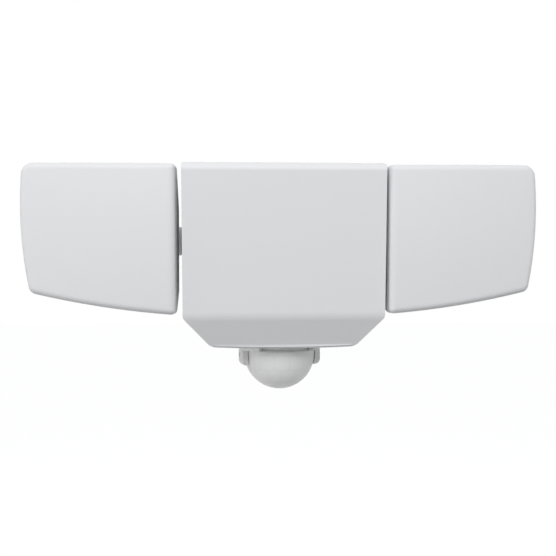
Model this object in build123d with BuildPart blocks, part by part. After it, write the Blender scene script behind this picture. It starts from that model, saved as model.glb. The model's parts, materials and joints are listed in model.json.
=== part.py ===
from build123d import *
from math import cos, radians, sin
import os

# Motion sensor security light for an outside wall: a fixed centre panel, two side heads on
# jointed arms and a ball sensor in a turning yoke below the centre.
# Millimetres. Origin at the middle of the wall face, +X to the viewer's right, +Z up, and the
# light stands out along -Y. "Depth" is the distance out from the wall.

# ---------------------------------------------------------------- driving dimensions
# Centre body, seen from the front
body_half_width = 70.7          # at the top of the face
body_waist = 70.0               # half-width where the lower corners start
body_top = 62.0
body_waist_z = -45.0            # height of that waist
chin_half_width = 50.5          # half-width of the bottom edge
body_bottom = -65.6             # ends of the bottom edge
bottom_bow = 1.2                # the bottom edge hangs this much lower in its middle
side_draft = 3.2                # each side leans in by this much towards the wall
top_corner_radius = 2.0
waist_corner_radius = 5.0
chin_corner_radius = 9.0

# Centre body, seen from the side
body_depth = 92.0               # wall to the top of the face
crease_depth = 86.0             # wall to the crease above the chin
crease_z = -44.0
chin_foot_depth = 74.5          # wall to the foot of the chin
top_round = 5.5
crease_round = 15.0
face_round = 3.0                # round along both sides of the face
seam_depth = 73.5               # wall to the back edge of the front cover

# Walls and seals
wall = 2.5                      # housings
cover_wall = 2.2                # front cover and diffusers
rear_wall = 3.0
rear_round = 1.6
seal_thickness = 1.2
seal_width = 1.7
seal_setback = 0.5              # seal's edge behind the outer skin
tongue_height = 4.0             # tongue of each cover inside its housing
tongue_thickness = 1.4
tongue_clearance = 0.3
tongue_root = 2.0               # how far the tongue runs up inside the cover
board_setback = 11.5            # light boards behind the covers' seams
cover_foot_gap = 0.2            # cover's screw bosses to the housing's towers
cover_boss_step = 1.0           # cover's screw bosses are this much slimmer than the towers

# Back of the centre body
gasket_thickness = 2.0
gasket_gap = 1.5                # recess edge to gasket
gasket_width = 5.0
recess_half_width = 58.0
recess_half_height = 32.0
recess_depth = 8.0
recess_corner = 4.0

# Bracket on the junction box, and the cable entry
bracket_width = 112.0
bracket_height = 36.0
bracket_sheet = 1.6
bracket_lip = 4.0
bracket_corner = 5.0
slot_spacing = 79.5             # takes box screws about 70 to 89 mm apart
slot_length = 14.0
slot_radius = 2.25
bracket_hole_radius = 15.0
collar_x = 24.0
collar_wall = 2.0
grommet_bore = 5.0
grommet_radius = 9.0
grommet_flange = 12.0
grommet_flange_thickness = 1.6

# Screws: (shank radius, head radius, head height)
m4 = (1.6, 3.8, 2.6)
m3 = (1.3, 2.9, 2.0)
thread_fit = 0.05               # shank to threaded hole, drawn without its thread
shank_clearance = 0.4           # shank to plain hole
head_clearance = 0.5            # screw head to counterbore
tower_wall = 1.9                # material round a counterbore
mount_screw_length = 9.5
cover_screw_length = 14.0
head_screw_length = 10.0
screw_run_out = 1.5             # pilot hole past the end of its screw
cover_screw_grip = 6.0          # tower material under a cover screw's head
tower_inset = 9.5               # centre's screw towers inside its side, below its top, above its waist
tower_drop = 10.0
tower_rise = 1.0
board_screw_length = 7.0

# Ball sensor
sensor_depth = 39.0             # wall to the pan axis
sensor_pan_rest = 9.0           # degrees the sensor is turned to the viewer's right
ball_radius = 25.6
ball_height = -73.0             # height of the tilt pivots
ball_clearance = 0.5
yoke_radius = 29.8
yoke_plate = 3.0
yoke_rest_gap = 0.3             # yoke to the ceiling of its well
yoke_round = 4.5
cheek_half_width = 7.5
cheek_drop = 8.2                # pivots to the cheeks' feet
cheek_corner = 5.0
band_drop = 4.2                 # yoke's band below the body's bottom edge
notch_half_angle = 42.0         # front notch in the band
notch_rise = 1.4                # notch above the body's bottom edge
well_depth = 13.0
well_clearance = 0.6
neck_radius = 9.0
neck_bore = 6.0
neck_tail = 1.5                 # neck past its retaining ring
retaining_ring_radius = 14.0
retaining_ring_height = 3.0
running_fit = 0.05
lens_wall = 1.2
lens_rim = 3.1                  # lens rim above the pivots
lens_ear_gap = 0.3
carrier_top = 8.0               # carrier's top above the pivots
carrier_inset = 1.4             # carrier's skirt inside the lens's outer face
carrier_wall = 2.0
carrier_skirt = 3.0             # carrier inside the lens, below its rim
carrier_shoulder = 0.6          # lens seats under it
carrier_wire_hole = 3.0
carrier_ear_half_width = 6.0
carrier_ear_drop = 6.5          # carrier's ears below the pivots
carrier_ear_wall = 3.0
pivot_radius = 2.0
pivot_setback = 0.8             # pivot's end inside the cheek's outer face
sensor_board_wall = 1.2
board_ledge = 1.3
pir_radius = 4.6
pir_flange = 0.6                # can's flange: thickness and extra radius
pir_height = 4.2
photocell_radius = 2.5
photocell_height = 2.0
photocell_x = 12.0

# Setting dials under the body
dial_x = 41.0
dial_pitch = 18.0
dial_radius = 6.2
dial_thickness = 2.2
dial_gap = 0.4                  # dial to the side of its pocket
dial_rest_gap = 0.3             # dial to the ceiling of its pocket
dial_shaft = 2.2
dial_pocket_depth = 2.8
dial_grip = (9.0, 1.6, 0.8)     # slot cut across the dial: length, width, depth
dial_floor = 2.0
dial_engagement = 3.0           # shaft inside its control
pot_size = (10.0, 10.0, 5.0)
control_board_width = 13.0
control_board_margin = 1.0      # board past its end controls

# Side heads, measured from each head's upright hinge: across, up and forward
head_edge_x = 70.0              # body centre to the inner edge of a head that faces straight ahead
hinge_depth = 34.0              # wall to the hinge
arm_height = 9.4
head_inner = 48.0               # hinge to the inner edge
head_outer_top = 56.5           # hinge to the top of the outer edge
head_outer_middle = 56.9        # hinge to the outer edge at head_middle_z
head_outer_bottom = 51.0        # hinge to the foot of the outer edge
head_middle_z = 17.0
head_top_inner = 60.8
head_top_outer = 61.6
head_bottom_inner = -42.4
head_bottom_middle = -36.7
head_bottom_outer = -27.0
head_corner_radii = (3.2, 8.0, 6.0, 3.2)   # inner top, outer top, outer foot, inner foot
head_front = 58.0               # hinge to the crown of the face
crown_radius = 800.0
crown_shift = 4.0               # crown's centre outwards from the hinge
head_face_round = 3.0
head_seam = 47.0                # hinge to the back edge of the diffuser
head_collar = 40.0              # hinge to the end of the straight collar
head_back = 16.0                # hinge to the flat back
back_slope_inner = 1.0          # flat back's edges inside the outline: inner, outer, top
back_slope_outer = 29.0
back_slope_top = 24.8
back_rise_inner = 8.0           # flat back's lower corners above the outline's
back_rise_outer = 5.0
back_corner = 8.0
back_round = 2.5
head_tower_inner = 7.0          # screw towers inside the outline: inner, outer, top
head_tower_outer = 8.4
head_tower_top = 8.7
head_tower_rise_inner = 9.9     # lower towers above the outline's corners
head_tower_rise_outer = 7.0
left_yaw_rest = 5.0             # degrees each head is turned outwards in the photograph
right_yaw_rest = 2.7

# Arms and hinges
arm_radius = 7.0
arm_thread_radius = 6.0
arm_bore = 4.0
arm_flange_radius = 10.5
arm_flange = 2.8
flange_chamfer = 0.6
boss_radius = 12.0
boss_face = 71.0                # body centre to the outer face of the arm's boss
boss_inner = 62.0               # body centre to the inner face of the arm's boss
rest_gap = 0.2                  # between flat faces that turn on each other
washer_thickness = 1.5
arm_nut_flats = 17.0
arm_nut_height = 6.0
arm_tail = 1.5                  # arm past its nut
barrel_radius = 8.5
barrel_half_height = 10.0
hinge_ear = 4.0
hinge_ear_spread = 3.5          # ear's extra half-width at the head
bolt_radius = 3.0
bolt_head_radius = 5.0
bolt_head_height = 4.0
bolt_socket = (5.0, 2.4)        # across flats, depth
hinge_nut_flats = 10.0
hinge_nut_height = 4.5
bolt_tail = 1.0
port_x = 24.0                   # hinge to the lead port, towards the body
port_radius = 3.2
port_boss = 5.8
port_boss_height = 2.0
bush_bore = 1.8
bush_lip = 4.6
bush_lip_thickness = 1.2

# Light engines
board_thickness = 1.6
led_size = (3.5, 2.8, 0.7)
post_radius = 3.2
centre_board = (104.0, 70.0)
centre_board_z = 4.0
centre_post_spacing = (92.0, 54.0)
centre_led_count = (7, 5)
centre_led_pitch = (12.0, 13.0)
head_board = (72.0, 62.0)
head_board_shift = (-4.5, 8.0)   # from the middle of the outline's foot and from the hinge's zero
head_post_spacing = (50.0, 48.0)
head_post_shift = (-12.5, 4.0)
head_led_count = (5, 5)
head_led_pitch = (12.0, 10.5)
board_corner = 3.0

# Driver and terminals inside the centre body
driver_size = (26.0, 56.0)
driver_centre = (27.0, 4.0)
driver_standoff = 5.0
driver_post_spacing = (20.0, 50.0)
driver_post_radius = 2.6
transformer_size = (18.0, 16.0, 15.0)
transformer_corner = 1.5
transformer_lift = 10.0         # above the driver board's centre
capacitor_radius = 5.0
capacitor_length = 16.0
capacitor_spacing = 11.0
capacitor_drop = 14.0           # below the driver board's centre
terminal_size = (14.0, 26.0, 13.0)
terminal_x = -36.0
terminal_bore = 1.7
terminal_pitch = 8.0
terminal_chamfer = 2.0

# ---------------------------------------------------------------- derived places
hinge_x = head_edge_x + head_inner                  # body centre to the upright hinge
rear_face = gasket_thickness                        # depth of the housing's rear face
recess_floor = rear_face + recess_depth             # depth of the recess floor
inner_floor = recess_floor + rear_wall              # depth of the same floor from inside
housing_rim = seam_depth - seal_thickness           # depth of the housing's front rim
head_rim = head_seam - seal_thickness
centre_board_depth = seam_depth - board_setback
head_board_forward = head_seam - board_setback
tongue_inset = wall + tongue_clearance
well_top = body_bottom + well_depth                 # ceiling of the sensor's well
well_radius = yoke_radius + well_clearance
yoke_top = well_top - yoke_rest_gap
band_bottom = body_bottom - band_drop
cavity_radius = ball_radius + ball_clearance
ball_centre = (0, -sensor_depth, ball_height)
ring_bottom = well_top + wall + yoke_rest_gap
m3_counterbore = m3[1] + head_clearance
tower_radius = m3_counterbore + tower_wall
tower_top_z = body_top - tower_drop
tower_foot_z = body_waist_z + tower_rise
tower_x = body_half_width - tower_inset
towers = [(side * tower_x, z) for z in (tower_top_z, tower_foot_z) for side in (1, -1)]
head_towers = [(head_tower_inner - head_inner, head_top_inner - head_tower_top),
               (head_tower_inner - head_inner, head_bottom_inner + head_tower_rise_inner),
               (head_outer_top - head_tower_outer, head_top_outer - head_tower_top),
               (head_outer_bottom - head_tower_outer, head_bottom_outer + head_tower_rise_outer)]
head_middle_x = (head_outer_bottom - head_inner) / 2
dial_depths = [sensor_depth + step * dial_pitch for step in (-1, 0, 1)]
dial_ceiling = body_bottom + dial_pocket_depth
pot_bottom = dial_ceiling + dial_floor
dial_places = [(dial_x, -depth) for depth in dial_depths]
arm_end = boss_inner - washer_thickness - arm_nut_height - arm_tail
ear_bottom = arm_height - barrel_half_height - rest_gap - hinge_ear
ear_top = arm_height + barrel_half_height + rest_gap + hinge_ear
ear_half_width = barrel_radius + hinge_ear_spread
ear_root = head_back + wall / 2                     # ears end inside the head's back wall

os.makedirs("parts", exist_ok=True)


def save(part, name):
    """Label a finished piece and write it."""
    part.label = name
    export_step(part, f"parts/{name}.step")


def facing(depth):
    """Plane parallel to the wall at this depth, facing the viewer, with its Y up."""
    return Plane.XZ.offset(depth)


def level(height):
    """Level plane at this height."""
    return Plane.XY.offset(height)


def sensor_level(height):
    """Level plane on the pan axis, turned with the sensor, which looks along its -Y."""
    turn = radians(sensor_pan_rest)
    return Plane(origin=(0, -sensor_depth, height), x_dir=(cos(turn), sin(turn), 0), z_dir=(0, 0, 1))


def sensor_side():
    """Upright plane through the ball's centre, square to its tilt pivots, with its Y up."""
    turn = radians(sensor_pan_rest)
    return Plane(origin=ball_centre, x_dir=(-sin(turn), cos(turn), 0), z_dir=(cos(turn), sin(turn), 0))


def arm_section(side, across):
    """Upright plane across an arm, this far from the body's centre and facing outwards."""
    return Plane(origin=(side * across, -hinge_depth, arm_height), x_dir=(0, 1, 0), z_dir=(side, 0, 0))


def hinge_front(side, yaw):
    """Upright plane on a head's hinge, turned with the head: X across, Y up, Z forward."""
    turn = radians(side * yaw)
    return Plane(origin=(side * hinge_x, -hinge_depth, 0), x_dir=(cos(turn), sin(turn), 0),
                 z_dir=(sin(turn), -cos(turn), 0))


def hinge_level(side, yaw, height):
    """Level plane on a head's hinge, turned with the head, which faces along its -Y."""
    turn = radians(side * yaw)
    return Plane(origin=(side * hinge_x, -hinge_depth, height), x_dir=(cos(turn), sin(turn), 0),
                 z_dir=(0, 0, 1))


def draft_at(depth):
    """How far the centre body's sides lean in at this depth."""
    return side_draft * max(housing_rim - depth, 0) / (housing_rim - rear_face)


def rectangle_corners(centre, spacing):
    """The four corners of a rectangle given by its centre and its hole spacing."""
    across, up = spacing[0] / 2, spacing[1] / 2
    return [(centre[0] + i * across, centre[1] + j * up) for i in (-1, 1) for j in (-1, 1)]


def body_outline(depth, inset=0.0):
    """The centre body's outline from the front, inset by a wall."""
    lean = draft_at(depth)
    half, waist = body_half_width - lean, body_waist - lean
    chin, top = chin_half_width - lean / 2, body_top - lean / 3
    with BuildSketch(facing(depth)) as outline:
        with BuildLine():
            Polyline((-chin, body_bottom), (-waist, body_waist_z), (-half, top),
                     (half, top), (waist, body_waist_z), (chin, body_bottom))
            ThreePointArc((chin, body_bottom), (0, body_bottom - bottom_bow), (-chin, body_bottom))
        make_face()
        if inset:
            offset(amount=-inset, kind=Kind.INTERSECTION)
        fillet(outline.vertices().group_by(Axis.Y)[-1], top_corner_radius)
        fillet(outline.vertices().group_by(Axis.Y)[0], chin_corner_radius)
        fillet(outline.vertices().filter_by_position(Axis.Y, body_waist_z - 2 * wall, 0), waist_corner_radius)
    return outline.sketch


def body_ring(depth, height, outer, inner):
    """A flat ring along the body's outline between two insets, built forwards from a depth."""
    with BuildPart() as ring:
        extrude(body_outline(depth, outer), amount=height, dir=(0, -1, 0))
        extrude(body_outline(depth, inner), amount=height, dir=(0, -1, 0), mode=Mode.SUBTRACT)
    return ring.part


def head_outline(front, side, forward, inset=0.0):
    """A head's outline: straight top and inner edges, bowed outer and bottom edges."""
    inner_top = (-side * head_inner, head_top_inner)
    outer_top = (side * head_outer_top, head_top_outer)
    outer_foot = (side * head_outer_bottom, head_bottom_outer)
    inner_foot = (-side * head_inner, head_bottom_inner)
    foot_middle = (side * head_middle_x, head_bottom_middle)
    with BuildSketch(front.offset(forward)) as outline:
        with BuildLine():
            Polyline(inner_foot, inner_top, outer_top)
            ThreePointArc(outer_top, (side * head_outer_middle, head_middle_z), outer_foot)
            ThreePointArc(outer_foot, foot_middle, inner_foot)
        make_face()
        if inset:
            offset(amount=-inset, kind=Kind.INTERSECTION)
        for corner, radius in zip((inner_top, outer_top, outer_foot, inner_foot), head_corner_radii):
            fillet(outline.vertices().sort_by_distance(corner)[0], radius)
    return outline.sketch


def head_back_outline(front, side, forward, inset=0.0):
    """The flat back of a head."""
    inner = -side * (head_inner - back_slope_inner)
    outer = side * (head_outer_bottom - back_slope_outer)
    top = head_top_inner - back_slope_top
    with BuildSketch(front.offset(forward)) as outline:
        with BuildLine():
            Polyline((inner, head_bottom_inner + back_rise_inner), (inner, top), (outer, top),
                     (outer, head_bottom_outer + back_rise_outer), close=True)
        make_face()
        if inset:
            offset(amount=-inset, kind=Kind.INTERSECTION)
        fillet(outline.vertices(), back_corner)
    return outline.sketch


def head_ring(front, side, forward, height, outer, inner):
    """A flat ring along a head's outline between two insets, built forwards."""
    with BuildPart() as ring:
        extrude(head_outline(front, side, forward, outer), amount=height)
        extrude(head_outline(front, side, forward, inner), amount=height, mode=Mode.SUBTRACT)
    return ring.part


def discs(plane, places, radius, height):
    """Round posts, holes or towers of one size, from a plane along its Z."""
    with BuildPart() as group:
        with BuildSketch(plane):
            with Locations(*places):
                Circle(radius)
        extrude(amount=height)
    return group.part


def screw_group(plane, places, size, length):
    """Pan-head screws: heads on the plane, shanks through it."""
    shank, head, head_height = size
    with BuildPart() as group:
        add(discs(plane, places, head, head_height))
        tops = group.faces().sort_by(Axis(plane.origin, plane.z_dir))[-len(places):]
        fillet(tops.edges(), head_height / 3)
        add(discs(plane, places, shank, -length))
    return group.part


def rear_screws(plane, places, size, length):
    """Pan-head screws driven from behind: heads behind the plane, shanks forwards through it."""
    shank, head, head_height = size
    with BuildPart() as group:
        add(discs(plane, places, head, -head_height))
        backs = group.faces().sort_by(Axis(plane.origin, plane.z_dir))[:len(places)]
        fillet(backs.edges(), head_height / 3)
        add(discs(plane, places, shank, length))
    return group.part


def circuit_board(plane, centre, size, holes, thickness=board_thickness):
    """A rectangular circuit board with rounded corners and screw holes."""
    with BuildPart() as board:
        with BuildSketch(plane):
            with Locations(centre):
                RectangleRounded(*size, board_corner)
            with Locations(*holes):
                Circle(m3[0] + shank_clearance, mode=Mode.SUBTRACT)
        extrude(amount=thickness)
    return board.part


def led_group(plane, centre, count, pitch):
    """A grid of light-emitting chips on a board."""
    with BuildPart() as chips:
        with BuildSketch(plane):
            with Locations(centre):
                with GridLocations(*pitch, *count):
                    Rectangle(*led_size[:2])
        extrude(amount=led_size[2])
    return chips.part


# ---------------------------------------------------------------- wall bracket and cable entry
collar_places = [(-collar_x, 0), (collar_x, 0)]
m4_thread = m4[0] + thread_fit

with BuildPart() as mounting_bracket:
    with BuildSketch(facing(0)):
        RectangleRounded(bracket_width, bracket_height, bracket_corner)
    extrude(amount=bracket_sheet)
    with BuildSketch(facing(bracket_sheet)):
        with GridLocations(0, bracket_height - bracket_sheet, 1, 2):
            Rectangle(bracket_width - 2 * bracket_corner, bracket_sheet)
    extrude(amount=bracket_lip)
    add(discs(facing(bracket_sheet), collar_places, m4_thread + collar_wall, recess_floor - bracket_sheet))
    add(discs(facing(0), collar_places, m4_thread, recess_floor), mode=Mode.SUBTRACT)
    with BuildSketch(facing(0)):
        Circle(bracket_hole_radius)
        with Locations((-slot_spacing / 2, 0), (slot_spacing / 2, 0)):
            SlotOverall(slot_length, 2 * slot_radius)
    extrude(amount=bracket_sheet, mode=Mode.SUBTRACT)
save(mounting_bracket.part, "mounting_bracket")

gasket_inner = (2 * (recess_half_width + gasket_gap), 2 * (recess_half_height + gasket_gap))
with BuildPart() as wall_gasket:
    with BuildSketch(facing(0)):
        RectangleRounded(gasket_inner[0] + 2 * gasket_width, gasket_inner[1] + 2 * gasket_width,
                         recess_corner + gasket_width)
        RectangleRounded(*gasket_inner, recess_corner, mode=Mode.SUBTRACT)
    extrude(amount=gasket_thickness)
save(wall_gasket.part, "wall_gasket")

with BuildPart() as wire_grommet:
    with BuildSketch(facing(recess_floor - grommet_flange_thickness)):
        Circle(grommet_flange)
    extrude(amount=grommet_flange_thickness)
    with BuildSketch(facing(recess_floor)):
        Circle(grommet_radius)
    extrude(amount=rear_wall)
    with BuildSketch(facing(inner_floor)):
        Circle(grommet_flange)
    extrude(amount=grommet_flange_thickness)
    rims = wire_grommet.edges().filter_by(GeomType.CIRCLE).sort_by(Axis.Y)
    fillet([rims[0], rims[-1]], grommet_flange_thickness / 2)
    with BuildSketch(facing(0)):
        Circle(grommet_bore)
    extrude(amount=body_depth, mode=Mode.SUBTRACT)
save(wire_grommet.part, "wire_grommet")

save(screw_group(facing(inner_floor), collar_places, m4, mount_screw_length), "mount_screws")

# ---------------------------------------------------------------- centre housing
centre_posts = rectangle_corners((0, centre_board_z), centre_post_spacing)
driver_posts = rectangle_corners(driver_centre, driver_post_spacing)
counterbore_floor = housing_rim - cover_screw_grip
m3_thread = m3[0] + thread_fit
m3_plain = m3[0] + shank_clearance

with BuildPart() as housing_hollow:
    loft([body_outline(rear_face + rear_wall, wall), body_outline(housing_rim, wall)], ruled=True)
    with BuildSketch(facing(rear_face)):
        Rectangle(2 * (recess_half_width + rear_wall), 2 * (recess_half_height + rear_wall))
    extrude(amount=recess_depth + rear_wall, mode=Mode.SUBTRACT)
    add(discs(facing(rear_face), towers, tower_radius, housing_rim), mode=Mode.SUBTRACT)
    add(discs(facing(rear_face), centre_posts, post_radius, centre_board_depth - rear_face),
        mode=Mode.SUBTRACT)
    add(discs(facing(inner_floor), driver_posts, driver_post_radius, driver_standoff), mode=Mode.SUBTRACT)
    add(discs(level(body_bottom), [(0, -sensor_depth)], well_radius + wall, well_depth + wall),
        mode=Mode.SUBTRACT)
    add(discs(level(body_bottom), dial_places, dial_radius + dial_gap + wall / 2, pot_bottom - body_bottom),
        mode=Mode.SUBTRACT)
    for side in (-1, 1):
        add(discs(arm_section(side, boss_inner), [(0, 0)], boss_radius, boss_face), mode=Mode.SUBTRACT)

with BuildPart() as rear_housing:
    loft([body_outline(rear_face), body_outline(housing_rim)], ruled=True)
    fillet(rear_housing.faces().sort_by(Axis.Y)[-1].edges(), rear_round)
    for side in (-1, 1):
        add(discs(arm_section(side, boss_inner), [(0, 0)], boss_radius, boss_face - boss_inner))
    add(housing_hollow.part, mode=Mode.SUBTRACT)
    # bracket recess with the cable entry and the two mounting screws
    with BuildSketch(facing(rear_face)):
        RectangleRounded(2 * recess_half_width, 2 * recess_half_height, recess_corner)
    extrude(amount=recess_depth, mode=Mode.SUBTRACT)
    with BuildSketch(facing(recess_floor)):
        Circle(grommet_radius + running_fit)
        with Locations(*collar_places):
            Circle(m4[0] + shank_clearance)
    extrude(amount=rear_wall, mode=Mode.SUBTRACT)
    # cover screws from behind, and screw holes in the posts
    add(discs(facing(0), towers, m3_counterbore, counterbore_floor), mode=Mode.SUBTRACT)
    add(discs(facing(0), towers, m3_plain, seam_depth), mode=Mode.SUBTRACT)
    add(discs(facing(centre_board_depth), centre_posts, m3_thread, -board_screw_length), mode=Mode.SUBTRACT)
    add(discs(facing(inner_floor + driver_standoff), driver_posts, m3_thread, -driver_standoff),
        mode=Mode.SUBTRACT)
    # arm bearings
    for side in (-1, 1):
        add(discs(arm_section(side, 0), [(0, 0)], arm_radius + running_fit, hinge_x), mode=Mode.SUBTRACT)
    # sensor well and its neck hole
    with BuildSketch(level(well_top)):
        with Locations((0, -sensor_depth)):
            Circle(well_radius)
    extrude(amount=-2 * well_depth, mode=Mode.SUBTRACT)
    add(discs(level(well_top), [(0, -sensor_depth)], neck_radius + running_fit, wall), mode=Mode.SUBTRACT)
    # dial pockets and shaft holes
    add(discs(level(dial_ceiling), dial_places, dial_radius + dial_gap, -2 * dial_pocket_depth),
        mode=Mode.SUBTRACT)
    add(discs(level(dial_ceiling), dial_places, dial_shaft + running_fit, dial_floor), mode=Mode.SUBTRACT)
save(rear_housing.part, "rear_housing")

save(body_ring(housing_rim, seal_thickness, seal_setback, seal_setback + seal_width), "housing_seal")


# ---------------------------------------------------------------- centre front cover
def cover_block(inset=0.0):
    """The front cover's solid form: leaning face, rounded crease and chin, inset by a wall."""
    back = -(seam_depth - 2 * inset)
    foot = body_bottom - bottom_bow - cover_foot_gap
    chin_slope = (crease_depth - chin_foot_depth) / (crease_z - body_bottom)
    foot_y = -(chin_foot_depth + chin_slope * (foot - body_bottom))
    top, crease = (-body_depth, body_top), (-crease_depth, crease_z)
    with BuildPart() as block:
        with BuildSketch(Plane.YZ) as profile:
            with BuildLine():
                Polyline((back, body_top), top, crease, (foot_y, foot), (back, foot), close=True)
            make_face()
            if inset:
                offset(amount=-inset, kind=Kind.INTERSECTION)
            fillet(profile.vertices().sort_by_distance(top)[0], top_round - inset)
            fillet(profile.vertices().sort_by_distance(crease)[0], crease_round - inset)
        extrude(amount=body_half_width, both=True)
        extrude(body_outline(seam_depth - 2 * inset, inset), amount=body_depth, dir=(0, -1, 0),
                mode=Mode.INTERSECT)
    return block.part


with BuildPart() as cover_hollow:
    add(cover_block(cover_wall))
    add(discs(facing(housing_rim), towers, tower_radius - cover_boss_step, body_depth), mode=Mode.SUBTRACT)

with BuildPart() as center_diffuser:
    add(cover_block())
    face = center_diffuser.faces().filter_by(GeomType.PLANE).sort_by(SortBy.AREA)[-1]
    fillet(face.edges().filter_by(lambda edge: abs(edge.tangent_at(0.5).Z) > 0.5), face_round)
    add(cover_hollow.part, mode=Mode.SUBTRACT)
    add(body_ring(seam_depth, tongue_root, cover_wall / 2, tongue_inset + tongue_thickness))
    add(body_ring(seam_depth - tongue_height, tongue_height, tongue_inset, tongue_inset + tongue_thickness))
    add(discs(facing(seam_depth), towers, tower_radius + tongue_clearance, -tongue_height),
        mode=Mode.SUBTRACT)
    add(discs(level(body_bottom), [(0, -sensor_depth)], well_radius + wall + tongue_clearance, well_depth),
        mode=Mode.SUBTRACT)
    add(discs(facing(housing_rim + cover_foot_gap), towers, tower_radius - cover_boss_step, tongue_root))
    add(discs(facing(0), towers, m3_thread, counterbore_floor + cover_screw_length + screw_run_out),
        mode=Mode.SUBTRACT)
save(center_diffuser.part, "center_diffuser")

# ---------------------------------------------------------------- centre light engine and driver
board_front = centre_board_depth + board_thickness
save(circuit_board(facing(centre_board_depth), (0, centre_board_z), centre_board, centre_posts),
     "center_led_board")
save(led_group(facing(board_front), (0, centre_board_z), centre_led_count, centre_led_pitch), "center_leds")
save(screw_group(facing(board_front), centre_posts, m3, board_screw_length), "center_board_screws")

save(rear_screws(facing(counterbore_floor), towers, m3, cover_screw_length), "cover_screws")

driver_back = inner_floor + driver_standoff
driver_front = driver_back + board_thickness
save(circuit_board(facing(driver_back), driver_centre, driver_size, driver_posts), "driver_board")
save(screw_group(facing(driver_front), driver_posts, m3, driver_standoff), "driver_screws")

with BuildPart() as driver_transformer:
    with BuildSketch(facing(driver_front)):
        with Locations((driver_centre[0], driver_centre[1] + transformer_lift)):
            RectangleRounded(*transformer_size[:2], transformer_corner)
    extrude(amount=transformer_size[2])
    fillet(driver_transformer.faces().sort_by(Axis.Y)[0].edges(), 1)
save(driver_transformer.part, "driver_transformer")

capacitor_places = [(driver_centre[0] + i * capacitor_spacing / 2, driver_centre[1] - capacitor_drop)
                    for i in (-1, 1)]
with BuildPart() as driver_capacitors:
    add(discs(facing(driver_front), capacitor_places, capacitor_radius, capacitor_length))
    fillet(driver_capacitors.faces().filter_by(Axis.Y).sort_by(Axis.Y)[:2].edges(), 0.8)
save(driver_capacitors.part, "driver_capacitors")

with BuildPart() as terminal_block:
    with BuildSketch(facing(inner_floor)):
        with Locations((terminal_x, 0)):
            Rectangle(*terminal_size[:2])
    extrude(amount=terminal_size[2])
    chamfer(terminal_block.faces().sort_by(Axis.Y)[0].edges().filter_by(Axis.Z), terminal_chamfer)
    entries = [(terminal_x, step * terminal_pitch) for step in (-1, 0, 1)]
    add(discs(facing(inner_floor + terminal_size[2]), entries, terminal_bore, -terminal_size[2] / 2),
        mode=Mode.SUBTRACT)
save(terminal_block.part, "terminal_block")

# ---------------------------------------------------------------- setting dials
for name, place in zip(("time_dial", "lux_dial", "range_dial"), dial_places):
    with BuildPart() as dial:
        dial_top = dial_ceiling - dial_rest_gap
        add(discs(level(dial_top), [place], dial_radius, -dial_thickness))
        fillet(dial.edges().sort_by(Axis.Z)[:1], 0.5)
        add(discs(level(dial_top), [place], dial_shaft, pot_bottom + dial_engagement - dial_top))
        with BuildSketch(level(dial_top - dial_thickness)):
            with Locations(place):
                Rectangle(dial_grip[1], dial_grip[0])
        extrude(amount=dial_grip[2], mode=Mode.SUBTRACT)
    save(dial.part, name)

with BuildPart() as control_pots:
    with BuildSketch(level(pot_bottom)):
        with Locations(*dial_places):
            Rectangle(*pot_size[:2])
    extrude(amount=pot_size[2])
    add(discs(level(pot_bottom), dial_places, dial_shaft + running_fit, dial_engagement + dial_rest_gap),
        mode=Mode.SUBTRACT)
save(control_pots.part, "control_pots")

with BuildPart() as control_board:
    with BuildSketch(level(pot_bottom + pot_size[2])):
        with Locations((dial_x, -sensor_depth)):
            RectangleRounded(control_board_width, 2 * dial_pitch + pot_size[1] + 2 * control_board_margin,
                             board_corner / 2)
    extrude(amount=board_thickness)
save(control_board.part, "control_board")

# ---------------------------------------------------------------- ball sensor
with BuildPart() as sensor_yoke:
    foot = ball_height - cheek_drop
    with BuildSketch(sensor_level(foot)):
        Circle(yoke_radius)
    extrude(amount=yoke_top - foot)
    fillet(sensor_yoke.edges().sort_by(Axis.Z)[:1], yoke_round)
    with BuildSketch(sensor_level(yoke_top)):
        Circle(neck_radius)
    extrude(amount=ring_bottom + retaining_ring_height + neck_tail - yoke_top)
    # round hollow for the ball, open below
    with Locations(ball_centre):
        Sphere(cavity_radius, arc_size2=0, align=(Align.CENTER, Align.CENTER, Align.MAX),
               mode=Mode.SUBTRACT)
    with BuildSketch(sensor_level(ball_height)):
        Circle(cavity_radius)
    extrude(amount=yoke_top - yoke_plate - ball_height, mode=Mode.SUBTRACT)
    with BuildSketch(sensor_level(foot)):
        Circle(neck_bore)
    extrude(amount=2 * yoke_radius, mode=Mode.SUBTRACT)
    # cut the band away below its edge, except for the two rounded cheeks
    with BuildSketch(sensor_side()):
        with Locations((0, band_bottom - ball_height)):
            Rectangle(4 * yoke_radius, 2 * (band_bottom - foot), align=(Align.CENTER, Align.MAX))
            RectangleRounded(2 * cheek_half_width, 2 * (band_bottom - foot), cheek_corner,
                             mode=Mode.SUBTRACT)
    extrude(amount=2 * yoke_radius, both=True, mode=Mode.SUBTRACT)
    # notch at the front of the band
    across = 2 * yoke_radius * sin(radians(notch_half_angle))
    forwards = 2 * yoke_radius * cos(radians(notch_half_angle))
    with BuildSketch(sensor_level(body_bottom + notch_rise)):
        with BuildLine():
            Polyline((0, 0), (-across, -forwards), (across, -forwards), close=True)
        make_face()
    extrude(amount=band_bottom - body_bottom - notch_rise - 1, mode=Mode.SUBTRACT)
    # pivot holes
    with BuildSketch(sensor_side()):
        Circle(pivot_radius + running_fit)
    extrude(amount=2 * yoke_radius, both=True, mode=Mode.SUBTRACT)
save(sensor_yoke.part, "sensor_yoke")

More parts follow.
